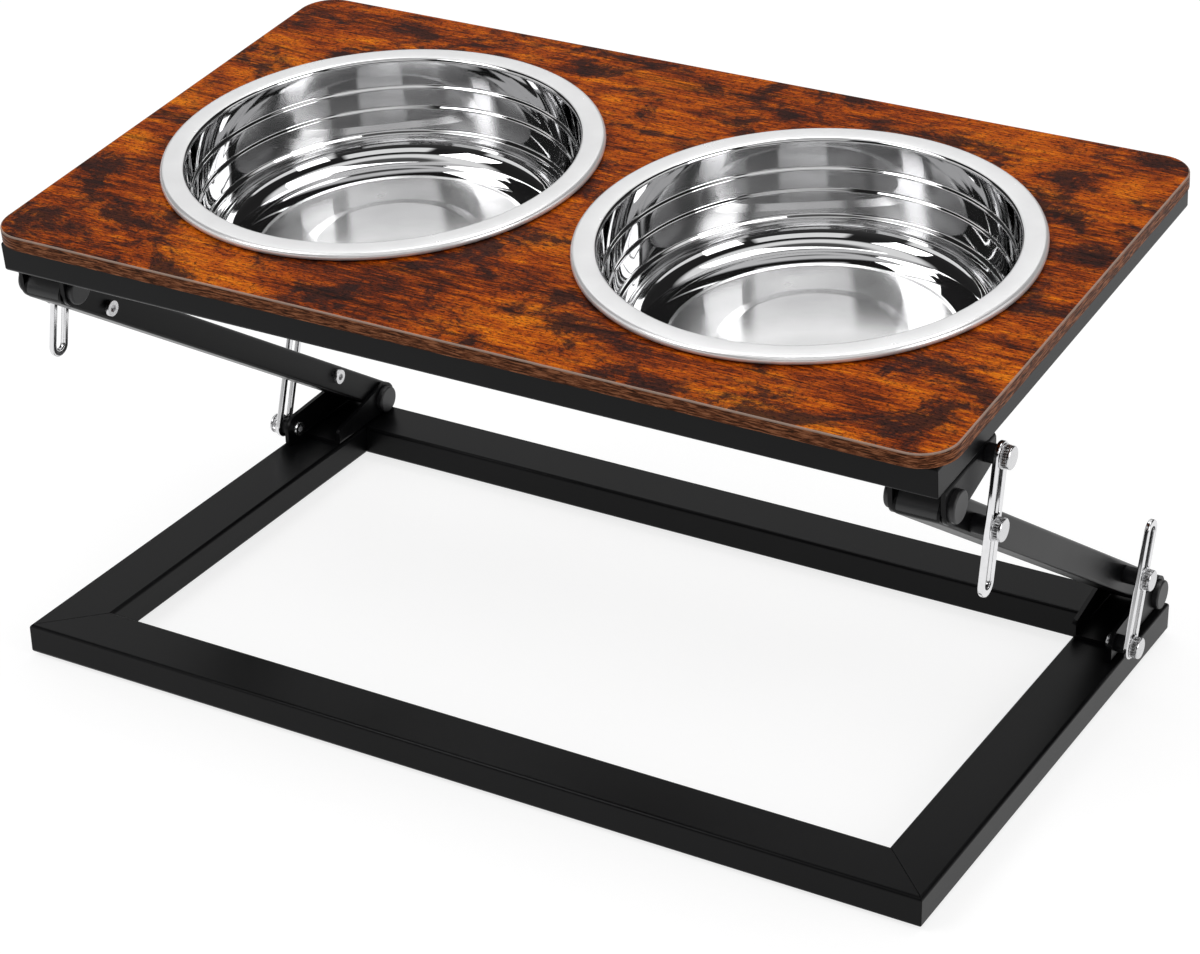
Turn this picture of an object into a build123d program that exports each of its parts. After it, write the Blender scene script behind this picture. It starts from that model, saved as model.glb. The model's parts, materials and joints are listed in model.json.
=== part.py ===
from build123d import *
import os
from math import atan2, cos, degrees, radians, sin, sqrt

# Elevated dog bowl stand, in millimetres.
# The origin is on the floor under the middle of the base: X runs along the stand, +Y to the back, +Z up.
# Two arms hinge on the rear of the base and carry the tabletop on a second hinge at their front ends.
# A slotted link and two thumb nuts lock each hinge, on both sides of the stand.

# Base frame and its rectangular tube
BASE_LENGTH = 560.0
BASE_DEPTH = 328.0
TUBE_WIDTH = 34.0
TUBE_HEIGHT = 18.0
TUBE_WALL = 1.5
TUBE_CORNER = 2.0
TUBE_INNER_CORNER = 0.5
FOOT_RADIUS = 7.0
FOOT_HEIGHT = 2.0
FOOT_CHAMFER = 0.5

# Tabletop frame, board and the screws between them
TOP_FRAME_INSET = 3.0
TABLE_TILT = 5.2
BOARD_OVERHANG = 5.0
BOARD_THICKNESS = 8.0
BOARD_CORNER = 20.0
BOARD_EDGE_ROUND = 0.8
SCREW_RADIUS = 2.0
SCREW_HEAD_RADIUS = 3.8
SCREW_HEAD_HEIGHT = 2.0
SCREW_GRIP = 5.5
SCREW_SPACING = 200.0

# Arms
ARM_REACH = 345.7
ARM_TILT = 33.65
ARM_WIDTH = 24.5
ARM_HEIGHT = 17.0
ARM_WALL = 1.5
ARM_CORNER = 1.8
ARM_INNER_CORNER = 0.45
ARM_PIVOT_OFFSET = 2.0
ARM_NOSE = 8.5
ARM_NOSE_ROUND = 6.0
ARM_TAIL = 6.2
ARM_TAIL_ROUND = 6.0
SLEEVE_RADIUS = 5.0

# Brackets, bent from sheet into a channel that holds the arm's end
SHEET = 2.5
BEND_RADIUS = 3.0
ARM_SIDE_CLEARANCE = 0.4
BLANK_HEIGHT = 60.0
BLANK_LENGTH = 200.0
REAR_PIVOT_HEIGHT = 10.5
REAR_PIVOT_INSET = 11.0
REAR_INNER_REACH = 51.0
FRONT_PIVOT_DROP = 14.0
FRONT_PIVOT_INSET = 19.0
FRONT_LOBE = 10.0
FRONT_INNER_REACH = 25.0
INNER_WEB_HEIGHT = 11.0
WEB_CORNER = 3.0

# Pivot bolts with riveted heads under round caps
PIVOT_RADIUS = 4.0
PIVOT_HEAD_RADIUS = 6.5
PIVOT_HEAD_HEIGHT = 1.8
CAP_RADIUS = 8.5
CAP_THICKNESS = 3.5
CAP_ROUND = 1.2

# Clamps: radius of both bolts of a clamp about its pivot, and where the fixed one sits
REAR_CLAMP_RADIUS = 58.0
REAR_CLAMP_DROP = 1.5
FRONT_CLAMP_RADIUS = 38.0
FRONT_CLAMP_DEPTH = 5.5
FRONT_CLAMP_LOBE = 10.5
CLAMP_BOLT_RADIUS = 3.0
CLAMP_HEAD_RADIUS = 4.5
CLAMP_HEAD_HEIGHT = 3.0
CLAMP_BOLT_GRIP = 3.0
TIP_CHAMFER = 0.6
SOCKET_SIZE = 2.3
SOCKET_DEPTH = 1.6
SPACER_RADIUS = 5.0
WASHER_RADIUS = 6.5
WASHER_THICKNESS = 0.8
LINK_GAP = 5.6
LINK_LENGTH = 80.0
LINK_WIDTH = 14.0
LINK_THICKNESS = 3.0
LINK_END = 7.5
LINK_EDGE_ROUND = 0.9
SLOT_WIDTH = 6.6
SLOT_CHAMFER = 0.4
NUT_RADIUS = 6.0
NUT_KNURL_LENGTH = 2.4
NUT_GROOVE_RADIUS = 5.4
NUT_GROOVE_LENGTH = 0.4
NUT_CAP_LENGTH = 1.4
NUT_CAP_CHAMFER = 0.4
NUT_BORE_DEPTH = 3.3
KNURL_COUNT = 24
KNURL_SIZE = 0.75

# Bowls, which fill the tabletop frame: their clearances set the bowls' radius and the frame's depth
BOWL_SIDE_CLEARANCE = 2.0
BOWL_END_CLEARANCE = 12.0
BOWL_RIM_GAP = 16.0
BOWL_RIM_WIDTH = 14.0
BOWL_WALL = 1.0
BOWL_DEPTH = 57.0
BOWL_RIM_HEIGHT = 5.0
BOWL_RIM_ROUND = 2.6
BOWL_STEP_DEPTHS = (12.0, 24.0, 38.5)
BOWL_STEP_WIDTHS = (1.5, 1.4, 2.4)
BOWL_STEP_HEIGHT = 1.3
BOWL_DRAFT = 0.06
BOWL_CORNER_ROUND = 14.0
BOWL_FLOOR_DISC_INSET = 65.0
BOWL_FLOOR_DISC_RISE = 1.5
BOWL_FLOOR_DISC_SLOPE = 7.0
BOWL_HOLE_CLEARANCE = 1.0

# Fits
PIN_CLEARANCE = 0.05
PLUG_CLEARANCE = 0.05
RECESS_CLEARANCE = 0.3


def frame_at(origin, tilt):
    """A plane whose X runs along the stand and whose Y axis rises by the tilt towards the back."""
    slope = radians(tilt)
    return Plane(origin=origin, x_dir=(1, 0, 0), z_dir=(0, -sin(slope), cos(slope)))


def side_view(frame, x=0.0):
    """Drawing plane seen from the right: the frame's Y to the right, its Z up, extruded towards +X."""
    return Plane(origin=frame.from_local_coords((x, 0, 0)), x_dir=frame.y_dir, z_dir=frame.x_dir)


def cross_view(frame, y=0.0):
    """Drawing plane seen from the front: the frame's X to the right, its Z up, extruded towards -Y."""
    return Plane(origin=frame.from_local_coords((0, y, 0)), x_dir=frame.x_dir, z_dir=-frame.y_dir)


def plan_view(frame, z=0.0):
    """Drawing plane seen from above, at a height over the frame."""
    return Plane(origin=frame.from_local_coords((0, 0, z)), x_dir=frame.x_dir, z_dir=frame.z_dir)


# Tabletop frame and bowls, from the base's length
top_frame_length = BASE_LENGTH - 2 * TOP_FRAME_INSET
bowl_room = top_frame_length / 2 - TUBE_WIDTH - BOWL_SIDE_CLEARANCE - BOWL_WALL
bowl_mouth_radius = (bowl_room - BOWL_RIM_WIDTH - BOWL_RIM_GAP / 2) / 2
bowl_rim_radius = bowl_mouth_radius + BOWL_RIM_WIDTH
bowl_spacing = 2 * bowl_rim_radius + BOWL_RIM_GAP
bowl_disc_radius = bowl_mouth_radius - BOWL_FLOOR_DISC_INSET
top_frame_depth = 2 * (bowl_mouth_radius + BOWL_WALL + BOWL_END_CLEARANCE + TUBE_WIDTH)

# Places along X on the right-hand side, from the inside out
web_outer_face = BASE_LENGTH / 2 - CAP_THICKNESS
arm_outer_face = web_outer_face - SHEET - ARM_SIDE_CLEARANCE
arm_inner_face = arm_outer_face - ARM_WIDTH
web_inner_face = arm_inner_face - ARM_SIDE_CLEARANCE - SHEET
channel_width = web_outer_face - web_inner_face
channel_middle = (web_outer_face + web_inner_face) / 2
arm_middle = (arm_outer_face + arm_inner_face) / 2
link_inner_face = web_outer_face + LINK_GAP
link_outer_face = link_inner_face + LINK_THICKNESS
nut_start = link_outer_face + WASHER_THICKNESS
bolt_end = nut_start + CLAMP_BOLT_GRIP

# Frames of the base, of the arms at the rear pivot, and of the tabletop at the front pivot
base_frame = Plane.XY.offset(FOOT_HEIGHT)
rear_pivot = Vector(0, BASE_DEPTH / 2 - REAR_PIVOT_INSET, FOOT_HEIGHT + TUBE_HEIGHT + REAR_PIVOT_HEIGHT)
rear_frame = frame_at(rear_pivot, 0)
arm_frame = frame_at(rear_pivot, -ARM_TILT)
pivot_lift = 2 * ARM_PIVOT_OFFSET
arm_run = sqrt(ARM_REACH**2 - pivot_lift**2)
front_pivot = arm_frame.from_local_coords((0, -arm_run, pivot_lift))
table_frame = frame_at(front_pivot, TABLE_TILT)
table_middle = top_frame_depth / 2 - FRONT_PIVOT_INSET
top_frame = frame_at(table_frame.from_local_coords((0, table_middle, FRONT_PIVOT_DROP)), TABLE_TILT)
board_frame = plan_view(top_frame, TUBE_HEIGHT)
board_top = plan_view(board_frame, BOARD_THICKNESS)

# Clamp bolts: one on the bracket and one on the arm, both at the clamp's radius from the pivot
rear_drop = radians(REAR_CLAMP_DROP)
rear_fixed_at = (-REAR_CLAMP_RADIUS * cos(rear_drop), -REAR_CLAMP_RADIUS * sin(rear_drop))
rear_arm_at = (-sqrt(REAR_CLAMP_RADIUS**2 - pivot_lift**2), pivot_lift)
front_fixed_height = FRONT_PIVOT_DROP - FRONT_CLAMP_DEPTH
front_fixed_at = (sqrt(FRONT_CLAMP_RADIUS**2 - front_fixed_height**2), front_fixed_height)
front_arm_at = (sqrt(FRONT_CLAMP_RADIUS**2 - pivot_lift**2) - arm_run, 0.0)

# Screws that hold the board, seen from above on the tabletop frame
screw_row = (top_frame_depth - TUBE_WIDTH) / 2
screw_column = (top_frame_length - TUBE_WIDTH) / 2
screw_places = [(x, y) for x in (-SCREW_SPACING, 0.0, SCREW_SPACING) for y in (-screw_row, screw_row)]
screw_places += [(-screw_column, 0.0), (screw_column, 0.0)]

os.makedirs("parts", exist_ok=True)


def save(part, name):
    part.label = name
    export_step(part, f"parts/{name}.step")


def save_sides(right, name):
    """Write a right-hand piece and its mirror image as two nodes."""
    save(right, f"{name}_right")
    save(mirror(right, about=Plane.YZ), f"{name}_left")


def save_group(pieces, name):
    """Write right-hand pieces and their mirror images as one node of separate solids."""
    with BuildPart() as group:
        for piece in pieces:
            add(piece)
            mirror(piece, about=Plane.YZ)
    save(group.part, name)


# Mitred frames of rectangular tube


def mitred_tube(frame, length, depth, bores=(), bore_radius=0.0):
    """The front tube of a mitred frame of this length and depth, standing on the plane."""
    with BuildPart() as tube:
        with BuildSketch(side_view(frame)):
            with Locations(((TUBE_WIDTH - depth) / 2, TUBE_HEIGHT / 2)):
                RectangleRounded(TUBE_WIDTH, TUBE_HEIGHT, TUBE_CORNER)
                RectangleRounded(
                    TUBE_WIDTH - 2 * TUBE_WALL,
                    TUBE_HEIGHT - 2 * TUBE_WALL,
                    TUBE_INNER_CORNER,
                    mode=Mode.SUBTRACT,
                )
        extrude(amount=length / 2, both=True)
        for side in (-1, 1):
            corner = frame.from_local_coords((side * length / 2, -depth / 2, 0))
            mitre = Plane(origin=corner, x_dir=frame.z_dir, z_dir=frame.x_dir * side + frame.y_dir)
            split(bisect_by=mitre, keep=Keep.BOTTOM)
        for place in bores:
            with BuildSketch(frame):
                with Locations(place):
                    Circle(bore_radius)
            extrude(amount=TUBE_HEIGHT, mode=Mode.SUBTRACT)
    return tube.part


def turned(places, quarter_turns):
    """The same places on a plane that is turned by quarter turns, as its own X and Y."""
    for _ in range(quarter_turns):
        places = [(y, -x) for x, y in places]
    return places


def save_mitred_frame(frame, length, depth, name, bores=(), bore_radius=0.0):
    for quarter_turns, side in enumerate(("front", "right", "back", "left")):
        along, across = (length, depth) if quarter_turns % 2 == 0 else (depth, length)
        headings = (frame.x_dir, frame.y_dir, -frame.x_dir, -frame.y_dir)
        turned_frame = Plane(origin=frame.origin, x_dir=headings[quarter_turns], z_dir=frame.z_dir)
        mine = [place for place in turned(bores, quarter_turns) if place[1] < TUBE_WIDTH - across / 2]
        save(mitred_tube(turned_frame, along, across, mine, bore_radius), f"{name}_{side}")


save_mitred_frame(base_frame, BASE_LENGTH, BASE_DEPTH, "base_tube")
save_mitred_frame(
    top_frame, top_frame_length, top_frame_depth, "top_tube", screw_places, SCREW_RADIUS + PIN_CLEARANCE
)

with BuildPart() as feet:
    with BuildSketch(Plane.XY):
        with GridLocations(BASE_LENGTH - TUBE_WIDTH, BASE_DEPTH - TUBE_WIDTH, 2, 2):
            Circle(FOOT_RADIUS)
    extrude(amount=FOOT_HEIGHT)
    chamfer(feet.edges().group_by(Axis.Z)[0], FOOT_CHAMFER)
save(feet.part, "base_feet")


# Brackets: a channel section cut to the outline of its webs


def bracket(frame, opens, seat, lobe, clamp, clamp_lobe, inner_reach):
    """Channel on the right side, seated at the height `seat` from the pivot and open the other way."""
    reach_sign = 1 if clamp[0] > 0 else -1
    floor_middle = seat + opens * SHEET / 2
    corner_height = seat + opens * (INNER_WEB_HEIGHT - WEB_CORNER)

    with BuildPart() as channel:
        with BuildSketch(side_view(frame, web_outer_face - SHEET)):
            Circle(lobe)
            with Locations(clamp):
                Circle(clamp_lobe)
            with Locations(((clamp[0] + reach_sign * (clamp_lobe - lobe)) / 2, floor_middle)):
                Rectangle(abs(clamp[0]) + clamp_lobe + lobe, SHEET)
            make_hull()
        extrude(amount=SHEET)
        with BuildSketch(side_view(frame, web_inner_face)):
            Circle(lobe)
            with Locations((reach_sign * (inner_reach - WEB_CORNER), corner_height)):
                Circle(WEB_CORNER)
            with Locations((reach_sign * (inner_reach - lobe) / 2, floor_middle)):
                Rectangle(inner_reach + lobe, SHEET)
            make_hull()
        extrude(amount=channel_width - SHEET)
        with BuildSketch(cross_view(frame)):
            with Locations((channel_middle, seat + opens * BLANK_HEIGHT / 2)):
                RectangleRounded(channel_width, BLANK_HEIGHT, BEND_RADIUS)
            with Locations((channel_middle, seat + opens * (SHEET + BLANK_HEIGHT / 2))):
                RectangleRounded(
                    channel_width - 2 * SHEET, BLANK_HEIGHT, BEND_RADIUS - SHEET, mode=Mode.SUBTRACT
                )
        extrude(amount=BLANK_LENGTH / 2, both=True, mode=Mode.INTERSECT)
        with BuildSketch(side_view(frame, web_inner_face)):
            Circle(PIVOT_RADIUS + PIN_CLEARANCE)
        extrude(amount=channel_width, mode=Mode.SUBTRACT)
        with BuildSketch(side_view(frame, channel_middle)):
            with Locations(clamp):
                Circle(CLAMP_BOLT_RADIUS + PIN_CLEARANCE)
        extrude(amount=channel_width, mode=Mode.SUBTRACT)
    return channel.part


rear_clamp_lobe = REAR_PIVOT_HEIGHT + rear_fixed_at[1]
save_sides(
    bracket(
        rear_frame,
        1,
        -REAR_PIVOT_HEIGHT,
        REAR_PIVOT_HEIGHT,
        rear_fixed_at,
        rear_clamp_lobe,
        REAR_INNER_REACH,
    ),
    "base_bracket",
)
save_sides(
    bracket(
        table_frame,
        -1,
        FRONT_PIVOT_DROP,
        FRONT_LOBE,
        front_fixed_at,
        FRONT_CLAMP_LOBE,
        FRONT_INNER_REACH,
    ),
    "top_bracket",
)


# Arms of rectangular tube, with end plugs and pivot sleeves


def arm_outline(start, end):
    """Side view of the arm between two places along it, with its rounded nose and tail."""
    length = arm_run + ARM_NOSE + ARM_TAIL
    with BuildSketch(side_view(arm_frame, arm_inner_face)) as outline:
        with Locations(((ARM_TAIL - arm_run - ARM_NOSE) / 2, ARM_PIVOT_OFFSET)):
            Rectangle(length, ARM_HEIGHT)
        fillet(outline.vertices().group_by(Axis.X)[0], ARM_NOSE_ROUND)
        fillet(outline.vertices().group_by(Axis.X)[-1].sort_by(Axis.Y)[0], ARM_TAIL_ROUND)
        with Locations(((start + end) / 2, ARM_PIVOT_OFFSET)):
            Rectangle(end - start, ARM_HEIGHT, mode=Mode.INTERSECT)
    return outline.sketch


def arm_section(margin, corner):
    """Section of the arm, smaller by a margin on every side."""
    middle = frame_at(arm_frame.from_local_coords((0, -arm_run / 2, 0)), -ARM_TILT)
    with BuildSketch(cross_view(middle)) as section:
        with Locations((arm_middle, ARM_PIVOT_OFFSET)):
            RectangleRounded(ARM_WIDTH - 2 * margin, ARM_HEIGHT - 2 * margin, corner)
    return section.sketch


with BuildPart() as arm:
    extrude(arm_section(0.0, ARM_CORNER), amount=arm_run, both=True)
    extrude(arm_section(ARM_WALL, ARM_INNER_CORNER), amount=arm_run, both=True, mode=Mode.SUBTRACT)
    extrude(arm_outline(-arm_run - ARM_NOSE, ARM_TAIL), amount=ARM_WIDTH, mode=Mode.INTERSECT)
    with BuildSketch(side_view(arm_frame, arm_inner_face)):
        with Locations((0, 0), (-arm_run, pivot_lift)):
            Circle(SLEEVE_RADIUS + PIN_CLEARANCE)
        with Locations(rear_arm_at, front_arm_at):
            Circle(CLAMP_BOLT_RADIUS + PIN_CLEARANCE)
    extrude(amount=ARM_WIDTH, mode=Mode.SUBTRACT)
save_sides(arm.part, "arm")

plug_section = arm_section(ARM_WALL + PLUG_CLEARANCE, ARM_INNER_CORNER)
plug_reach = SLEEVE_RADIUS + RECESS_CLEARANCE
with BuildPart() as front_plug:
    extrude(plug_section, amount=arm_run, both=True)
    extrude(
        arm_outline(-arm_run - ARM_NOSE, -arm_run - plug_reach), amount=ARM_WIDTH, mode=Mode.INTERSECT
    )
save_group([front_plug.part], "arm_front_plugs")
with BuildPart() as rear_plug:
    extrude(plug_section, amount=arm_run, both=True)
    extrude(arm_outline(plug_reach, ARM_TAIL), amount=ARM_WIDTH, mode=Mode.INTERSECT)
save_group([rear_plug.part], "arm_rear_plugs")


# Round pieces along X: bolts, sleeves, spacers, washers, caps and nuts


def round_piece(frame, place, steps, bore_radius=0.0):
    """Cylinders along X on one axis: each step is its start, its end and its radius."""
    with BuildPart() as piece:
        for start, end, radius in steps:
            with BuildSketch(side_view(frame, start)):
                with Locations(place):
                    Circle(radius)
            extrude(amount=end - start)
        if bore_radius > 0:
            start, end = steps[0][0], steps[-1][1]
            with BuildSketch(side_view(frame, start)):
                with Locations(place):
                    Circle(bore_radius)
            extrude(amount=end - start, mode=Mode.SUBTRACT)
    return piece.part


def pivot_bolt(frame):
    return round_piece(
        frame,
        (0, 0),
        [
            (web_inner_face - PIVOT_HEAD_HEIGHT, web_inner_face, PIVOT_HEAD_RADIUS),
            (web_inner_face, web_outer_face, PIVOT_RADIUS),
            (web_outer_face, web_outer_face + PIVOT_HEAD_HEIGHT, PIVOT_HEAD_RADIUS),
        ],
    )


def pivot_cap(frame, face, outward):
    """Round cap on a web's face, hollow over the bolt's head."""
    recess = PIVOT_HEAD_HEIGHT + RECESS_CLEARANCE
    with BuildPart() as cap:
        with BuildSketch(side_view(frame, face)):
            Circle(CAP_RADIUS)
        extrude(amount=outward * CAP_THICKNESS)
        crown = cap.faces().sort_by(Axis.X)[-1 if outward > 0 else 0]
        fillet(crown.edges(), CAP_ROUND)
        with BuildSketch(side_view(frame, face)):
            Circle(PIVOT_HEAD_RADIUS + RECESS_CLEARANCE)
        extrude(amount=outward * recess, mode=Mode.SUBTRACT)
    return cap.part


def clamp_bolt(frame, place, head_face):
    """Socket-head bolt whose head seats on a face and whose tip ends inside the nut."""
    with BuildPart() as bolt:
        with BuildSketch(side_view(frame, head_face - CLAMP_HEAD_HEIGHT)):
            with Locations(place):
                Circle(CLAMP_HEAD_RADIUS)
                RegularPolygon(SOCKET_SIZE, 6, mode=Mode.SUBTRACT)
        extrude(amount=SOCKET_DEPTH)
        with BuildSketch(side_view(frame, head_face - CLAMP_HEAD_HEIGHT + SOCKET_DEPTH)):
            with Locations(place):
                Circle(CLAMP_HEAD_RADIUS)
        extrude(amount=CLAMP_HEAD_HEIGHT - SOCKET_DEPTH)
        with BuildSketch(side_view(frame, head_face)):
            with Locations(place):
                Circle(CLAMP_BOLT_RADIUS)
        extrude(amount=bolt_end - head_face)
        chamfer(bolt.faces().sort_by(Axis.X)[-1].edges(), TIP_CHAMFER)
    return bolt.part


def clamp_spacer(frame, place, seat_face):
    steps = [(seat_face, link_inner_face, SPACER_RADIUS)]
    return round_piece(frame, place, steps, CLAMP_BOLT_RADIUS + PIN_CLEARANCE)


def clamp_washer(frame, place):
    steps = [(link_outer_face, nut_start, WASHER_RADIUS)]
    return round_piece(frame, place, steps, CLAMP_BOLT_RADIUS + PIN_CLEARANCE)


def thumb_nut(frame, place):
    """Closed nut: a knurled collar, a groove and a smooth cap of the same radius."""
    cap_start = nut_start + NUT_KNURL_LENGTH + NUT_GROOVE_LENGTH
    with BuildPart() as nut:
        with BuildSketch(side_view(frame, cap_start)):
            with Locations(place):
                Circle(NUT_RADIUS)
        extrude(amount=NUT_CAP_LENGTH)
        chamfer(nut.faces().sort_by(Axis.X)[-1].edges(), NUT_CAP_CHAMFER)
        with BuildSketch(side_view(frame, nut_start + NUT_KNURL_LENGTH)):
            with Locations(place):
                Circle(NUT_GROOVE_RADIUS)
        extrude(amount=NUT_GROOVE_LENGTH)
        with BuildSketch(side_view(frame, nut_start)):
            with Locations(place):
                Circle(NUT_RADIUS)
                with PolarLocations(NUT_RADIUS, KNURL_COUNT):
                    RegularPolygon(KNURL_SIZE, 4, mode=Mode.SUBTRACT)
        extrude(amount=NUT_KNURL_LENGTH)
        with BuildSketch(side_view(frame, nut_start)):
            with Locations(place):
                Circle(CLAMP_BOLT_RADIUS + PIN_CLEARANCE)
        extrude(amount=NUT_BORE_DEPTH, mode=Mode.SUBTRACT)
    return nut.part


sleeve_steps = [(arm_inner_face, arm_outer_face, SLEEVE_RADIUS)]
sleeve_places = [(0, 0), (-arm_run, pivot_lift)]
sleeves = [round_piece(arm_frame, at, sleeve_steps, PIVOT_RADIUS + PIN_CLEARANCE) for at in sleeve_places]
save_group(sleeves, "arm_pivot_sleeves")

for frame, name in ((rear_frame, "rear"), (table_frame, "front")):
    save_group([pivot_bolt(frame)], f"{name}_pivot_bolts")
    caps = [pivot_cap(frame, web_outer_face, 1), pivot_cap(frame, web_inner_face, -1)]
    save_group(caps, f"{name}_pivot_caps")

for frame, place, name in ((rear_frame, rear_fixed_at, "base"), (table_frame, front_fixed_at, "top")):
    save_group([clamp_bolt(frame, place, web_outer_face - SHEET)], f"{name}_clamp_bolts")
    save_group([clamp_spacer(frame, place, web_outer_face)], f"{name}_clamp_spacers")
    save_group([clamp_washer(frame, place)], f"{name}_clamp_washers")
    save_sides(thumb_nut(frame, place), f"{name}_nut")

arm_places = (rear_arm_at, front_arm_at)
save_group([clamp_bolt(arm_frame, place, arm_inner_face) for place in arm_places], "arm_clamp_bolts")
save_group([clamp_spacer(arm_frame, place, arm_outer_face) for place in arm_places], "arm_clamp_spacers")
save_group([clamp_washer(arm_frame, place) for place in arm_places], "arm_clamp_washers")
save_sides(thumb_nut(arm_frame, rear_arm_at), "rear_arm_nut")
save_sides(thumb_nut(arm_frame, front_arm_at), "front_arm_nut")


# Slotted links: each runs from the bracket's bolt, at one end of its slot, past the arm's bolt


def slotted_link(fixed, arm_bolt):
    towards = arm_bolt - fixed
    frame = frame_at(fixed, degrees(atan2(towards.Z, towards.Y)))
    with BuildPart() as link:
        with BuildSketch(side_view(frame, link_inner_face)):
            with Locations((LINK_LENGTH / 2 - LINK_END, 0)):
                SlotOverall(LINK_LENGTH, LINK_WIDTH)
                SlotOverall(LINK_LENGTH - 2 * LINK_END + SLOT_WIDTH, SLOT_WIDTH, mode=Mode.SUBTRACT)
        extrude(amount=LINK_THICKNESS)
        for face in (link.faces().sort_by(Axis.X)[0], link.faces().sort_by(Axis.X)[-1]):
            chamfer(face.inner_wires()[0].edges(), SLOT_CHAMFER)
        for face in (link.faces().sort_by(Axis.X)[0], link.faces().sort_by(Axis.X)[-1]):
            fillet(face.outer_wire().edges(), LINK_EDGE_ROUND)
    return link.part


rear_fixed_bolt = rear_frame.from_local_coords((0, *rear_fixed_at))
rear_arm_bolt = arm_frame.from_local_coords((0, *rear_arm_at))
front_fixed_bolt = table_frame.from_local_coords((0, *front_fixed_at))
front_arm_bolt = arm_frame.from_local_coords((0, *front_arm_at))
save_sides(slotted_link(rear_fixed_bolt, rear_arm_bolt), "rear_link")
save_sides(slotted_link(front_fixed_bolt, front_arm_bolt), "front_link")


# Board, its screws and the bowls

board_length = top_frame_length + 2 * BOARD_OVERHANG
board_depth = top_frame_depth + 2 * BOARD_OVERHANG
bowl_hole_radius = bowl_mouth_radius + BOWL_WALL + BOWL_HOLE_CLEARANCE

with BuildPart() as board:
    with BuildSketch(board_frame):
        RectangleRounded(board_length, board_depth, BOARD_CORNER)
        with GridLocations(bowl_spacing, 0, 2, 1):
            Circle(bowl_hole_radius, mode=Mode.SUBTRACT)
    extrude(amount=BOARD_THICKNESS)
    top_face = board.faces().sort_by(Axis(board_frame.origin, board_frame.z_dir))[-1]
    fillet(top_face.outer_wire().edges(), BOARD_EDGE_ROUND)
    for place in screw_places:
        with BuildSketch(board_frame):
            with Locations(place):
                Circle(SCREW_RADIUS + PIN_CLEARANCE)
        extrude(amount=SCREW_GRIP + RECESS_CLEARANCE, mode=Mode.SUBTRACT)
save(board.part, "tabletop_board")

with BuildPart() as screws:
    for place in screw_places:
        with BuildSketch(plan_view(top_frame, -SCREW_HEAD_HEIGHT)):
            with Locations(place):
                Circle(SCREW_HEAD_RADIUS)
        extrude(amount=SCREW_HEAD_HEIGHT)
        with BuildSketch(top_frame):
            with Locations(place):
                Circle(SCREW_RADIUS)
        extrude(amount=TUBE_HEIGHT + SCREW_GRIP)
save(screws.part, "board_screws")


def bowl_rim():
    """The rim's turned edge and flat top, as far as the first ring inside it."""
    edge = (bowl_rim_radius, 0.0)
    shoulder = (bowl_rim_radius, BOWL_RIM_HEIGHT)
    mouth = (bowl_mouth_radius, BOWL_RIM_HEIGHT)
    first_radius = bowl_mouth_radius - BOWL_DRAFT * (BOWL_RIM_HEIGHT + BOWL_STEP_DEPTHS[0])
    return [edge, shoulder, mouth, (first_radius, -BOWL_STEP_DEPTHS[0])]


def bowl_rings():
    """The three pressed rings of the wall, from the rim's last point down."""
    points = [bowl_rim()[-1]]
    for index, step_width in enumerate(BOWL_STEP_WIDTHS):
        radius = points[-1][0] - step_width
        height = points[-1][1] - BOWL_STEP_HEIGHT
        points.append((radius, height))
        if index + 1 < len(BOWL_STEP_DEPTHS):
            next_height = -BOWL_STEP_DEPTHS[index + 1]
            points.append((radius - BOWL_DRAFT * (height - next_height), next_height))
    return points


def bowl_floor():
    """The wall below the rings, the floor's corner and the raised disc."""
    start = bowl_rings()[-1]
    floor = BOWL_WALL - BOWL_DEPTH
    corner = (start[0] - BOWL_DRAFT * (start[1] - floor), floor)
    disc_foot = (bowl_disc_radius + BOWL_FLOOR_DISC_SLOPE, floor)
    disc_edge = (bowl_disc_radius, floor + BOWL_FLOOR_DISC_RISE)
    return [start, corner, disc_foot], [disc_foot, disc_edge, (0.0, disc_edge[1])]


def bowl(x):
    """Drawn bowl of even wall, with its rim's turned edge on the board's top."""
    corner, disc = bowl_floor()
    middle = board_top.from_local_coords((x, 0, 0))
    view = Plane(origin=middle, x_dir=board_top.x_dir, z_dir=-board_top.y_dir)
    with BuildPart() as drawn:
        with BuildSketch(view):
            with BuildLine():
                FilletPolyline(*bowl_rim(), radius=BOWL_RIM_ROUND)
                Polyline(*bowl_rings())
                FilletPolyline(*corner, radius=BOWL_CORNER_ROUND)
                Polyline(*disc)
                offset(amount=BOWL_WALL, side=Side.RIGHT)
            make_face()
        revolve(axis=Axis(middle, board_top.z_dir))
    return drawn.part


save(bowl(-bowl_spacing / 2), "bowl_left")
save(bowl(bowl_spacing / 2), "bowl_right")
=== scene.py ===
"""Looks of the elevated dog bowl stand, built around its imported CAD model."""
import json
import math

import bpy
from mathutils import Matrix, Vector


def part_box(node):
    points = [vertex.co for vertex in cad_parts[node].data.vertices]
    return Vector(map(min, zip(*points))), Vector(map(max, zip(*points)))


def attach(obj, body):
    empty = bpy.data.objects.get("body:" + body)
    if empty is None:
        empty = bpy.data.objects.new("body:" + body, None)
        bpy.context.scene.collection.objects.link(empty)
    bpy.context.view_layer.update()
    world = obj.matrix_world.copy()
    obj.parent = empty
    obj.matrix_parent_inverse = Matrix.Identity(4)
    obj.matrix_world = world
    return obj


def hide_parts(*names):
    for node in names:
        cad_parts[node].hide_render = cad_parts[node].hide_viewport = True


# Camera: the photograph's view, with its frame of 1200 x 954 pixels
PHOTO_WIDTH = 1200.0
CAMERA_AZIMUTH = 30.78
CAMERA_ELEVATION = 28.21
CAMERA_ROLL = -1.34
CAMERA_DISTANCE = 1.849
CAMERA_TARGET = (0.003, 0.0, 0.109)
CAMERA_RANGE = 30.0
FOCAL_PIXELS = 3326.0
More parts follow.
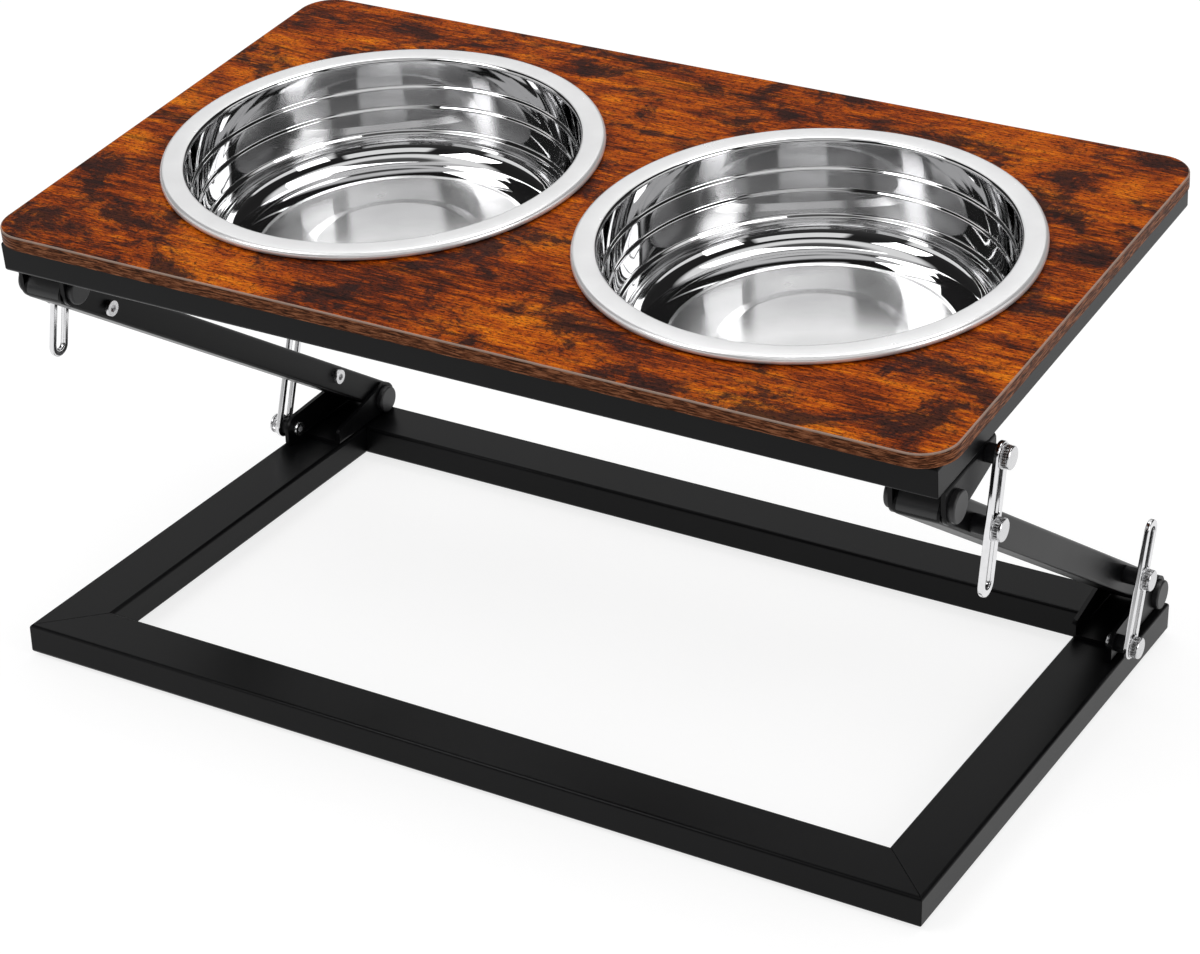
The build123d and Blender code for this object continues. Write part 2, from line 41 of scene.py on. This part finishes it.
SENSOR_WIDTH = 36.0

# Board, as in the CAD
BOARD_LENGTH = 0.564
BOARD_DEPTH = 0.322
BOARD_THICKNESS = 0.008
BOARD_CORNER = 0.020
BOARD_EDGE_ROUND = 0.0008

# Bowls, in metres: heights count from the board's top
BOWL_WALL = 0.001
BOWL_DEPTH = 0.057
BOWL_RIM_RADIUS = 0.123
BOWL_RIM_HEIGHT = 0.0048
BOWL_RIM_ROUND = 0.0026
BOWL_RIM_CROWN = 0.0003
BOWL_MOUTH_RADIUS = 0.109
BOWL_STEP_DEPTHS = (0.012, 0.024, 0.0385)
BOWL_STEP_WIDTHS = (0.0015, 0.0014, 0.0024)
BOWL_STEP_HEIGHT = 0.0013
BOWL_STEP_ROUND = 0.0015
BOWL_DRAFT = 0.06
BOWL_CORNER_ROUND = 0.014
BOWL_RING_RADIUS = 0.0775
BOWL_RING_WIDTH = 0.0018
BOWL_RING_HEIGHT = 0.0007
BOWL_DISC_RADIUS = 0.044
BOWL_DISC_RISE = 0.0015
BOWL_DISC_SLOPE = 0.007
BOWL_DISC_ROUND = 0.004
BOWL_SEGMENTS = 240
BOWL_AXIS_RADIUS = 0.00001
ARC_STEPS = 6
STRAIGHT_HALF_ANGLE = math.radians(89.9)
NORMAL_WEIGHT = 100

# Edges of the cut sheet and turned metal
SHEET_BEVEL = 0.00035
FASTENER_BEVEL = 0.00015
LINK_BEVEL = 0.0007
BEVEL_SEGMENTS = 3
BEVEL_ANGLE = math.radians(40)
WELD_DISTANCE = 0.000002

# Surfaces: where a cloud is darkest and lightest, how far gloss varies with it, and the depth of fine relief
CLOUD_LOW = 0.3
CLOUD_HIGH = 0.7
GLOSS_SPREAD = 0.1
FINE_RELIEF = 0.0001

# Board's grain: each layer's stretch along the board and its noise, then the colours that they give
GRAIN = {
    "cloud": {"stretch": 0.5, "scale": 16.0, "detail": 8.0, "roughness": 0.7, "distortion": 0.6},
    "smoke": {"stretch": 0.6, "scale": 30.0, "detail": 9.0, "roughness": 0.74, "distortion": 0.5},
    "streaks": {"stretch": 0.08, "scale": 150.0, "detail": 6.0, "roughness": 0.7, "distortion": 0.3},
    "fibres": {"stretch": 0.09, "scale": 800.0, "detail": 4.0, "roughness": 0.75},
    "specks": {"stretch": 0.45, "scale": 800.0, "detail": 3.0, "roughness": 0.75},
    "ridge": {"stretch": 0.07, "scale": 19.0, "detail": 5.0, "roughness": 0.5, "distortion": 0.2},
}
TONE_SHARES = {"cloud": 0.42, "streaks": 0.26, "fibres": 0.32}
WOOD_COLOURS = [
    (0.41, (0.03, 0.008, 0.004)),
    (0.46, (0.14, 0.02, 0.002)),
    (0.5, (0.36, 0.056, 0.002)),
    (0.545, (0.58, 0.125, 0.003)),
    (0.61, (0.8, 0.25, 0.008)),
]
SMOKE_COLOUR = (0.02, 0.008, 0.007)
SMOKE_LEVELS = [(0.43, 0.9), (0.51, 0.0)]
SPECK_LEVELS = [(0.38, 0.08), (0.5, 1.0)]
SPECK_SHARE = 0.9
SPECK_RELIEF = 0.0002
CRACK_LEVELS = [(0.0015, 0.2), (0.006, 1.0)]
CRACK_SHARE = 0.85
BOARD_ROUGHNESS = 0.42
BOARD_ROUGHNESS_SPREAD = 0.2
EDGE_STRETCH = 0.1
EDGE_NOISE = {"scale": 1100.0, "detail": 5.0, "roughness": 0.65, "distortion": 0.4}
EDGE_COLOURS = [(0.4, (0.03, 0.012, 0.006)), (0.5, (0.14, 0.045, 0.02)), (0.6, (0.36, 0.14, 0.065))]
# Pale line on the board's rounded top edge: partly the edge band's paler seam, partly a painted highlight of the
# rounded edge
PALE_SEAM_AND_HIGHLIGHT_COLOUR = (0.36, 0.27, 0.22)
PALE_SEAM_AND_HIGHLIGHT_SHARE = 0.8

# Studio: floor, lamps with the height that they point at, and the world's grey as light
FLOOR_SIZE = 12.0
FLOOR_GREY = 0.3
FLOOR_GLOW = 0.78
LAMPS = [
    {"name": "key_light", "place": (-1.3, -1.5, 2.2), "aim": 0.15, "size": (1.2, 1.2), "power": 22.0},
    {"name": "side_light", "place": (2.2, -0.3, 1.1), "aim": 0.15, "size": (0.9, 1.3), "power": 12.0},
    {"name": "top_light", "place": (0.1, 0.5, 2.3), "aim": 0.1, "size": (1.6, 0.9), "power": 13.0},
]
DIFFUSE_LEVEL = 0.5

# Studio as gloss sees it, by height (the sine of the elevation) and turn (0 back, 0.25 left, 0.5 front)
HORIZON_LEVELS = [(0.0, 1.0), (0.05, 0.7), (0.12, 0.05), (0.6, 0.02), (1.0, 0.02)]
OVERHEAD_LEVELS = [(0.8, 0.0), (0.85, 1.0), (0.93, 1.0), (0.965, 0.1)]
SOFTBOXES = [
    {"turn": (0.02, 0.16), "height": (0.552, 0.8), "level": 1.0},
    {"turn": (0.02, 0.16), "height": (0.3, 0.5), "level": 0.8},
    {"turn": (0.27, 0.4), "height": (0.2, 0.42), "level": 1.0},
    {"turn": (0.51, 0.66), "height": (0.44, 0.7), "level": 1.0},
    {"turn": (0.69, 0.86), "height": (0.2, 0.46), "level": 1.0},
]
SOFTBOX_EDGE = 0.012

# Sockets of a colour Mix node: its factor, its two colours and its result
MIX_FACTOR = 0
MIX_FIRST = 6
MIX_SECOND = 7
MIX_RESULT = 2

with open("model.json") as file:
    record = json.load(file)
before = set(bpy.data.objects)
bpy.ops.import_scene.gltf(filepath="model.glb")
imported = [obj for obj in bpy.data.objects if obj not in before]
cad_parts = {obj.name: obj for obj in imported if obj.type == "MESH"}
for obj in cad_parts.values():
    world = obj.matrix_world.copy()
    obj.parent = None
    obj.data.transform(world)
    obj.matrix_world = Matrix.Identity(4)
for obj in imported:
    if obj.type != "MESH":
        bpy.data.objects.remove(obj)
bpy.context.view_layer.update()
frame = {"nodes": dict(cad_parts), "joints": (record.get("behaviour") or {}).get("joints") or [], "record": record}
record = frame["record"]
nodes = frame["nodes"]
joint_axis = {joint["name"]: Vector(joint["axis"]) for joint in frame["joints"]}

# The tabletop's own frame: its normal is the way a bowl lifts out
table_normal = joint_axis["bowl_left_lift"].normalized()
table_tilt = math.atan2(-table_normal.y, table_normal.z)
board_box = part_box("tabletop_board")
board_top = (board_box[0] + board_box[1]) / 2 + table_normal * BOARD_THICKNESS / 2
table_matrix = Matrix.Translation(board_top) @ Matrix.Rotation(table_tilt, 4, "X")


# Materials


class Shader:
    """A material's node tree with short calls to add and join nodes."""

    def __init__(self, name):
        self.material = bpy.data.materials.new(name)
        self.material.use_nodes = True
        self.tree = self.material.node_tree
        self.bsdf = self.tree.nodes["Principled BSDF"]

    def add(self, kind, settings=None, **inputs):
        """A node of a kind, with its settings and the values or sockets of its inputs."""
        node = self.tree.nodes.new(kind)
        for key, value in (settings or {}).items():
            setattr(node, key, value)
        for key, value in inputs.items():
            self.feed(node, key, value)
        return node

    def feed(self, node, key, value):
        """Give a node's input, named with _ for a space, its value or its link."""
        name = key.replace("_", " ").lower()
        found = [socket for socket in node.inputs if socket.name.lower() == name and socket.enabled]
        self.plug(found[0], value)

    def plug(self, socket, value):
        if isinstance(value, bpy.types.NodeSocket):
            self.tree.links.new(value, socket)
        else:
            socket.default_value = value

    def surface(self, **inputs):
        for key, value in inputs.items():
            self.feed(self.bsdf, key, value)

    def place(self, scale=(1, 1, 1), rotation=(0, 0, 0), location=(0, 0, 0)):
        """The object's own coordinates in metres, scaled and turned."""
        coordinates = self.add("ShaderNodeTexCoord").outputs["Object"]
        mapping = self.add(
            "ShaderNodeMapping", Vector=coordinates, Scale=scale, Rotation=rotation, Location=location
        )
        return mapping.outputs["Vector"]

    def stretched(self, vector, along):
        """The same coordinates, with X scaled."""
        return self.add("ShaderNodeMapping", Vector=vector, Scale=(along, 1.0, 1.0)).outputs["Vector"]

    def noise(self, vector, scale, detail, roughness=0.55, distortion=0.0):
        node = self.add(
            "ShaderNodeTexNoise",
            Vector=vector,
            Scale=scale,
            Detail=detail,
            Roughness=roughness,
            Distortion=distortion,
        )
        return node.outputs["Fac"]

    def ramp(self, value, stops):
        """A colour ramp with stops of a position and a colour or grey level."""
        node = self.add("ShaderNodeValToRGB", Fac=value)
        elements = node.color_ramp.elements
        while len(elements) < len(stops):
            elements.new(0.5)
        for element, (position, colour) in zip(elements, stops):
            element.position = position
            if isinstance(colour, (int, float)):
                colour = (colour, colour, colour)
            element.color = (*colour, 1.0)
        return node.outputs["Color"]

    def tinted(self, cloud, colour, dark, light=1.0):
        """The colour times a share, which goes from dark to light with the cloud."""
        low = [channel * dark for channel in colour]
        high = [channel * light for channel in colour]
        return self.ramp(cloud, [(CLOUD_LOW, low), (CLOUD_HIGH, high)])

    def uneven(self, cloud, level, spread):
        """A level that rises and falls with the cloud, by half the spread each way."""
        return self.math("ADD", self.math("MULTIPLY", cloud, spread), level - spread / 2)

    def mix(self, factor, first, second, blend="MIX"):
        """A colour between two others, each a colour or a socket."""
        node = self.add("ShaderNodeMix", {"data_type": "RGBA", "blend_type": blend})
        self.plug(node.inputs[MIX_FACTOR], factor)
        for index, colour in ((MIX_FIRST, first), (MIX_SECOND, second)):
            is_socket = isinstance(colour, bpy.types.NodeSocket)
            self.plug(node.inputs[index], colour if is_socket else (*colour, 1.0))
        return node.outputs[MIX_RESULT]

    def math(self, operation, first, second=0.0, clamp=False):
        node = self.add("ShaderNodeMath", {"operation": operation, "use_clamp": clamp})
        self.plug(node.inputs[0], first)
        self.plug(node.inputs[1], second)
        return node.outputs[0]

    def vector_math(self, operation, first, second=(0.0, 0.0, 0.0)):
        node = self.add("ShaderNodeVectorMath", {"operation": operation})
        self.plug(node.inputs[0], first)
        self.plug(node.inputs[1], second)
        return node.outputs["Value"] if operation == "LENGTH" else node.outputs["Vector"]

    def bump(self, height, strength, distance):
        node = self.add("ShaderNodeBump", Height=height, Strength=strength, Distance=distance)
        return node.outputs["Normal"]


def powder_coat(name, colour, roughness):
    """Satin powder coat with its fine orange peel and faint uneven gloss."""
    shader = Shader(name)
    peel = shader.noise(shader.place(), scale=1400.0, detail=2.0)
    cloud = shader.noise(shader.place(), scale=14.0, detail=3.0)
    shader.surface(
        Base_Color=shader.tinted(cloud, colour, dark=0.7, light=1.3),
        Roughness=shader.uneven(cloud, roughness, GLOSS_SPREAD),
        Normal=shader.bump(peel, strength=0.12, distance=FINE_RELIEF),
        Specular_IOR_Level=0.13,
    )
    return shader.material


def plated_metal(name, colour, roughness, scratch):
    """Plated steel with fine scratches and a slightly cloudy finish."""
    shader = Shader(name)
    cloud = shader.noise(shader.place(), scale=160.0, detail=4.0)
    scratches = shader.noise(shader.place(scale=(1, 1, 6)), scale=900.0, detail=2.0)
    shader.surface(
        Base_Color=shader.tinted(cloud, colour, dark=0.9),
        Roughness=shader.uneven(cloud, roughness, GLOSS_SPREAD),
        Normal=shader.bump(scratches, scratch, FINE_RELIEF),
        Metallic=1.0,
    )
    return shader.material


def moulded(name, colour, roughness):
    """Moulded plastic or rubber with a fine grain."""
    shader = Shader(name)
    grain = shader.noise(shader.place(), scale=2600.0, detail=2.0)
    cloud = shader.noise(shader.place(), scale=60.0, detail=3.0)
    shader.surface(
        Base_Color=shader.tinted(cloud, colour, dark=0.85, light=1.15),
        Roughness=shader.uneven(cloud, roughness, GLOSS_SPREAD),
        Normal=shader.bump(grain, strength=0.15, distance=FINE_RELIEF),
    )
    return shader.material


def stainless(name, colour, roughness, spread, metallic=1.0, anisotropy=0.0):
    """Stainless steel of one finish; a brushed one has its lines round the bowl's own axis."""
    shader = Shader(name)
    cloud = shader.noise(shader.place(), scale=45.0, detail=5.0)
    shader.surface(
        Base_Color=shader.tinted(cloud, colour, dark=0.94),
        Roughness=shader.uneven(cloud, roughness, spread),
        Metallic=metallic,
    )
    if anisotropy > 0:
        tangent = shader.add("ShaderNodeTangent", {"direction_type": "RADIAL", "axis": "Z"})
        shader.surface(
            Anisotropic=anisotropy,
            Anisotropic_Rotation=0.25,
            Tangent=tangent.outputs["Tangent"],
        )
    return shader.material


def board_edge_masks(shader, local):
    """Shares of the board's side faces and of its rounded top edge, from the outline of the board."""
    never_beyond = BOARD_LENGTH
    inner = (BOARD_LENGTH / 2 - BOARD_CORNER, BOARD_DEPTH / 2 - BOARD_CORNER, never_beyond)
    beyond = shader.vector_math("SUBTRACT", shader.vector_math("ABSOLUTE", local), inner)
    outside = shader.vector_math("MAXIMUM", beyond)
    reach = shader.vector_math("LENGTH", outside)
    near_edge = shader.math("GREATER_THAN", reach, BOARD_CORNER - BOARD_EDGE_ROUND)
    height = shader.add("ShaderNodeSeparateXYZ", Vector=local).outputs["Z"]
    near_top = shader.math("GREATER_THAN", height, -BOARD_EDGE_ROUND)
    side = shader.math("SUBTRACT", near_edge, near_top, clamp=True)
    return side, shader.math("MULTIPLY", near_edge, near_top)


def board_laminate(name):
    """Rustic woodgrain along X: amber to brown, smoky patches, cracks, pores, and a pale top edge that is partly
    the edge band's paler seam and partly a painted highlight.
    """
    shader = Shader(name)
    turn = Matrix.Rotation(-table_tilt, 3, "X")
    local = shader.place(rotation=(-table_tilt, 0, 0), location=-(turn @ board_top))

    layers = {}
    for layer, settings in GRAIN.items():
        noise = {key: value for key, value in settings.items() if key != "stretch"}
        layers[layer] = shader.noise(shader.stretched(local, settings["stretch"]), **noise)

    tone = 0.0
    for layer, share in TONE_SHARES.items():
        tone = shader.math("ADD", tone, shader.math("MULTIPLY", layers[layer], share))
    wood = shader.ramp(tone, WOOD_COLOURS)
    wood = shader.mix(shader.ramp(layers["smoke"], SMOKE_LEVELS), wood, SMOKE_COLOUR)
    wood = shader.mix(SPECK_SHARE, wood, shader.ramp(layers["specks"], SPECK_LEVELS), "MULTIPLY")
    crack_depth = shader.math("ABSOLUTE", shader.math("SUBTRACT", layers["ridge"], 0.5))
    wood = shader.mix(CRACK_SHARE, wood, shader.ramp(crack_depth, CRACK_LEVELS), "MULTIPLY")

    axes = shader.add("ShaderNodeSeparateXYZ", Vector=local)
    along = shader.math("ADD", axes.outputs["X"], axes.outputs["Y"])
    along = shader.math("MULTIPLY", along, EDGE_STRETCH)
    edge_place = shader.add("ShaderNodeCombineXYZ", X=along, Y=axes.outputs["Z"])
    edge_wood = shader.ramp(shader.noise(edge_place.outputs["Vector"], **EDGE_NOISE), EDGE_COLOURS)
    side, top_edge = board_edge_masks(shader, local)
    wood = shader.mix(side, wood, edge_wood)
    # Pale top edge: the edge band's paler seam with a painted highlight on the rounding
    wood = shader.mix(shader.math("MULTIPLY", top_edge, PALE_SEAM_AND_HIGHLIGHT_SHARE), wood, PALE_SEAM_AND_HIGHLIGHT_COLOUR)

    shader.surface(
        Base_Color=wood,
        Roughness=shader.uneven(layers["streaks"], BOARD_ROUGHNESS, BOARD_ROUGHNESS_SPREAD),
        Normal=shader.bump(layers["specks"], strength=0.2, distance=SPECK_RELIEF),
        Specular_IOR_Level=0.04,
    )
    return shader.material


finishes = {
    "black_steel": powder_coat("black_powder_coat", (0.003, 0.003, 0.0034), roughness=0.32),
    "chrome_link": plated_metal("chrome_plate", (0.78, 0.78, 0.79), roughness=0.1, scratch=0.03),
    "zinc_fastener": plated_metal("zinc_plate", (0.68, 0.68, 0.69), roughness=0.26, scratch=0.08),
    "black_bolt": powder_coat("black_oxide", (0.01, 0.01, 0.011), roughness=0.4),
    "bowl_steel": stainless("polished_stainless", (0.68, 0.68, 0.685), roughness=0.03, spread=0.02),
    "wood_board": board_laminate("rustic_laminate"),
    "black_plastic": moulded("black_plastic", (0.012, 0.012, 0.013), roughness=0.42),
    "rubber_foot": moulded("black_rubber", (0.018, 0.018, 0.018), roughness=0.65),
}
bowl_finishes = [
    finishes["bowl_steel"],
    # Rim: satin steel whose white non-metal share is a painted sheen, standing in for broad reflection
    stainless("satin_stainless_painted_sheen", (0.95, 0.95, 0.955), roughness=0.26, spread=0.08, metallic=0.6),
    stainless("brushed_stainless", (0.8, 0.8, 0.805), roughness=0.26, spread=0.06, anisotropy=0.85),
    stainless("frosted_stainless", (0.93, 0.93, 0.935), roughness=0.2, spread=0.06, metallic=0.92),
]

for entry in record["subparts"]:
    mesh = nodes[entry["node"]].data
    mesh.materials.clear()
    mesh.materials.append(finishes[entry["material_slot"]])


def soften_edges(node, width):
    """Break a CAD node's sharp edges, as the real piece's are."""
    obj = nodes[node]
    weld = obj.modifiers.new("weld", "WELD")
    weld.merge_threshold = WELD_DISTANCE
    bevel = obj.modifiers.new("bevel", "BEVEL")
    bevel.width = width
    bevel.segments = BEVEL_SEGMENTS
    bevel.limit_method = "ANGLE"
    bevel.angle_limit = BEVEL_ANGLE
    bevel.harden_normals = True


for level in ("base", "top"):
    for place in ("left", "right"):
        soften_edges(f"{level}_bracket_{place}", SHEET_BEVEL)
    for place in ("front", "back", "left", "right"):
        soften_edges(f"{level}_tube_{place}", SHEET_BEVEL)
for node in nodes:
    if "link" in node:
        soften_edges(node, LINK_BEVEL)
    elif "_nut_" in node or "_clamp_" in node:
        soften_edges(node, FASTENER_BEVEL)


# Bowls


def rounded_path(points, radii):
    """The points with each inner corner rounded by its own radius."""
    path = [Vector(points[0])]
    for before, corner, after, radius in zip(points, points[1:], points[2:], radii):
        start = (Vector(before) - Vector(corner)).normalized()
        end = (Vector(after) - Vector(corner)).normalized()
        half_angle = start.angle(end) / 2
        if half_angle > STRAIGHT_HALF_ANGLE:
            path.append(Vector(corner))
            continue
        reach = radius / math.tan(half_angle)
        centre = Vector(corner) + (start + end).normalized() * radius / math.sin(half_angle)
        first = Vector(corner) + start * reach - centre
        last = Vector(corner) + end * reach - centre
        turn = first.angle(last)
        steps = max(2, round(ARC_STEPS * turn / (math.pi / 2)))
        for step in range(steps + 1):
            share = step / steps
            weight_first = math.sin((1 - share) * turn) / math.sin(turn)
            weight_last = math.sin(share * turn) / math.sin(turn)
            path.append(centre + first * weight_first + last * weight_last)
    path.append(Vector(points[-1]))
    return path


def bowl_profile():
    """Upper surface of a bowl from the rim's edge to the middle, with each corner rounded."""
    middle_of_rim = (BOWL_RIM_RADIUS + BOWL_MOUTH_RADIUS) / 2
    points = [
        (BOWL_RIM_RADIUS, BOWL_WALL),
        (BOWL_RIM_RADIUS, BOWL_RIM_HEIGHT - BOWL_RIM_CROWN),
        (middle_of_rim, BOWL_RIM_HEIGHT),
        (BOWL_MOUTH_RADIUS, BOWL_RIM_HEIGHT - BOWL_RIM_CROWN),
    ]
    radii = [BOWL_RIM_ROUND, BOWL_RIM_RADIUS / 2, BOWL_RIM_ROUND]
    radius, height = points[-1]
    for step_depth, step_width in zip(BOWL_STEP_DEPTHS, BOWL_STEP_WIDTHS):
        radius -= BOWL_DRAFT * (height + step_depth)
        points += [(radius, -step_depth), (radius - step_width, -step_depth - BOWL_STEP_HEIGHT)]
        radii += [BOWL_STEP_ROUND, BOWL_STEP_ROUND]
        radius, height = points[-1]
    floor = BOWL_WALL - BOWL_DEPTH
    radius -= BOWL_DRAFT * (height - floor)
    points += [
        (radius, floor + BOWL_RING_HEIGHT),
        (BOWL_RING_RADIUS + BOWL_RING_WIDTH / 2, floor + BOWL_RING_HEIGHT),
        (BOWL_RING_RADIUS - BOWL_RING_WIDTH / 2, floor),
        (BOWL_DISC_RADIUS + BOWL_DISC_SLOPE, floor),
        (BOWL_DISC_RADIUS, floor + BOWL_DISC_RISE),
        (0.0, floor + BOWL_DISC_RISE),
    ]
    radii += [BOWL_CORNER_ROUND, BOWL_STEP_ROUND, BOWL_STEP_ROUND, BOWL_DISC_ROUND, BOWL_DISC_ROUND]
    return rounded_path(points, radii)


def offset_path(path, distance):
    """The path moved sideways, to the outside of the bowl."""
    moved = []
    for index, point in enumerate(path):
        before = path[max(index - 1, 0)]
        after = path[min(index + 1, len(path) - 1)]
        along = (after - before).normalized()
        moved.append(point + Vector((-along.y, along.x)) * distance)
    return moved


def lathe(name, path, matrix):
    """A closed skin of quads turned about the piece's own Z axis; the path runs inside and back outside."""
    vertices = []
    faces = []
    rings = len(path)
    for segment in range(BOWL_SEGMENTS):
        angle = 2 * math.pi * segment / BOWL_SEGMENTS
        for point in path:
            radius = max(point.x, BOWL_AXIS_RADIUS)
            vertices.append((radius * math.cos(angle), radius * math.sin(angle), point.y))
        here = segment * rings
        following = (segment + 1) % BOWL_SEGMENTS * rings
        for ring in range(rings):
            ahead = (ring + 1) % rings
            faces.append((here + ring, following + ring, following + ahead, here + ahead))
    mesh = bpy.data.meshes.new(name)
    mesh.from_pydata(vertices, [], faces)
    mesh.polygons.foreach_set("use_smooth", [True] * len(faces))
    mesh.update()
    obj = bpy.data.objects.new(name, mesh)
    obj.matrix_world = matrix
    bpy.context.scene.collection.objects.link(obj)
    return obj


def bowl_finish(place):
    """Number of the finish at a place on the bowl: 0 polished, 1 rim, 2 floor's ring, 3 floor's disc."""
    radius = math.hypot(place.x, place.y)
    if radius > BOWL_MOUTH_RADIUS + BOWL_RIM_ROUND / 2 and place.z > BOWL_WALL:
        return 1
    if radius < BOWL_DISC_RADIUS:
        return 3
    if radius < BOWL_RING_RADIUS and place.z < BOWL_WALL - BOWL_DEPTH + BOWL_DISC_RISE:
        return 2
    return 0


def dress_bowl(side):
    """A bowl's detailed skin, in the place of its CAD solid."""
    node = f"bowl_{side}"
    low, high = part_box(node)
    upper = bowl_profile()
    outline = upper + list(reversed(offset_path(upper, BOWL_WALL)))
    matrix = table_matrix @ Matrix.Translation(((low.x + high.x) / 2, 0, 0))
    bowl = lathe(f"bowl_shell_{side}", outline, matrix)
    for finish in bowl_finishes:
        bowl.data.materials.append(finish)
    for polygon in bowl.data.polygons:
        polygon.material_index = bowl_finish(polygon.center)
    normals = bowl.modifiers.new("normals", "WEIGHTED_NORMAL")
    normals.weight = NORMAL_WEIGHT
    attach(bowl, node)
    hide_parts(node)


dress_bowl("left")
dress_bowl("right")


# Floor, light and camera


def floor_material():
    """White floor: part of its brightness comes from camera and glossy rays, and shadows stay on the rest."""
    shader = Shader("studio_floor")
    shader.surface(
        Base_Color=(FLOOR_GREY, FLOOR_GREY, FLOOR_GREY, 1.0), Roughness=0.9, Specular_IOR_Level=0.1
    )
    path = shader.add("ShaderNodeLightPath")
    seen = shader.math("MAXIMUM", path.outputs["Is Camera Ray"], path.outputs["Is Glossy Ray"])
    seen = shader.math("MAXIMUM", seen, path.outputs["Is Transmission Ray"])
    glow = shader.add("ShaderNodeEmission", Color=(1.0, 1.0, 1.0, 1.0), Strength=FLOOR_GLOW)
    dark = shader.add("ShaderNodeEmission", Color=(0.0, 0.0, 0.0, 1.0), Strength=0.0)
    chosen = shader.add("ShaderNodeMixShader")
    total = shader.add("ShaderNodeAddShader")
    output = shader.tree.nodes["Material Output"]
    shader.plug(chosen.inputs[0], seen)
    shader.plug(chosen.inputs[1], dark.outputs[0])
    shader.plug(chosen.inputs[2], glow.outputs[0])
    shader.plug(total.inputs[0], shader.bsdf.outputs[0])
    shader.plug(total.inputs[1], chosen.outputs[0])
    shader.plug(output.inputs["Surface"], total.outputs[0])
    return shader.material


def lay_floor():
    bpy.ops.mesh.primitive_plane_add(size=FLOOR_SIZE, location=(0, 0, 0))
    plane = bpy.context.object
    plane.name = "studio_floor"
    plane.data.materials.append(floor_material())


class WorldShader(Shader):
    """The world's node tree, with the same short calls."""

    def __init__(self, name):
        self.world = bpy.data.worlds.new(name)
        self.world.use_nodes = True
        self.tree = self.world.node_tree
        self.background = self.tree.nodes["Background"]


def band_stops(start, end, level=1.0):
    """Stops of a ramp that is lit between two positions, with soft ends."""
    return [(start - SOFTBOX_EDGE, 0.0), (start, level), (end, level), (end + SOFTBOX_EDGE, 0.0)]


def world_light():
    """White to the camera, plain grey as light; gloss sees a pale horizon, a ring overhead and softboxes."""
    shader = WorldShader("studio_world")
    direction = shader.add("ShaderNodeTexCoord").outputs["Generated"]
    axes = shader.add("ShaderNodeSeparateXYZ", Vector=direction)
    height = axes.outputs["Z"]
    turn = shader.math("ARCTAN2", axes.outputs["X"], shader.math("MULTIPLY", axes.outputs["Y"], -1.0))
    turn = shader.math("ADD", shader.math("DIVIDE", turn, 2 * math.pi), 0.5)
    studio = shader.ramp(height, HORIZON_LEVELS)
    studio = shader.mix(1.0, studio, shader.ramp(height, OVERHEAD_LEVELS), "LIGHTEN")
    for softbox in SOFTBOXES:
        across = shader.ramp(turn, band_stops(*softbox["turn"], softbox["level"]))
        upward = shader.ramp(height, band_stops(*softbox["height"]))
        studio = shader.mix(1.0, studio, shader.mix(1.0, across, upward, "MULTIPLY"), "LIGHTEN")
    path = shader.add("ShaderNodeLightPath")
    seen = shader.math("MAXIMUM", path.outputs["Is Camera Ray"], path.outputs["Is Transmission Ray"])
    light = shader.mix(path.outputs["Is Glossy Ray"], (DIFFUSE_LEVEL,) * 3, studio)
    shader.plug(shader.background.inputs["Color"], shader.mix(seen, light, (1.0, 1.0, 1.0)))
    bpy.context.scene.world = shader.world


def area_light(name, place, aim, size, power):
    """A rectangular lamp that faces a point above the floor's middle."""
    data = bpy.data.lights.new(name, "AREA")
    data.shape = "RECTANGLE"
    data.size, data.size_y = size
    data.energy = power
    light = bpy.data.objects.new(name, data)
    light.location = place
    light.rotation_euler = (Vector((0, 0, aim)) - Vector(place)).to_track_quat("-Z", "Y").to_euler()
    bpy.context.scene.collection.objects.link(light)


def photo_camera():
    azimuth = math.radians(CAMERA_AZIMUTH)
    elevation = math.radians(CAMERA_ELEVATION)
    level_reach = math.cos(elevation)
    back = Vector((math.sin(azimuth) * level_reach, -math.cos(azimuth) * level_reach, math.sin(elevation)))
    data = bpy.data.cameras.new("photo_camera")
    data.sensor_width = SENSOR_WIDTH
    data.lens = SENSOR_WIDTH * FOCAL_PIXELS / PHOTO_WIDTH
    data.clip_end = CAMERA_RANGE
    camera = bpy.data.objects.new("photo_camera", data)
    place = Matrix.Translation(Vector(CAMERA_TARGET) + back * CAMERA_DISTANCE)
    facing = (-back).to_track_quat("-Z", "Y").to_matrix().to_4x4()
    roll = Matrix.Rotation(math.radians(CAMERA_ROLL), 4, "Z")
    camera.matrix_world = place @ facing @ roll
    bpy.context.scene.collection.objects.link(camera)
    bpy.context.scene.camera = camera


lay_floor()
world_light()
for lamp in LAMPS:
    area_light(**lamp)
photo_camera()
bpy.context.scene.view_settings.view_transform = "Standard"
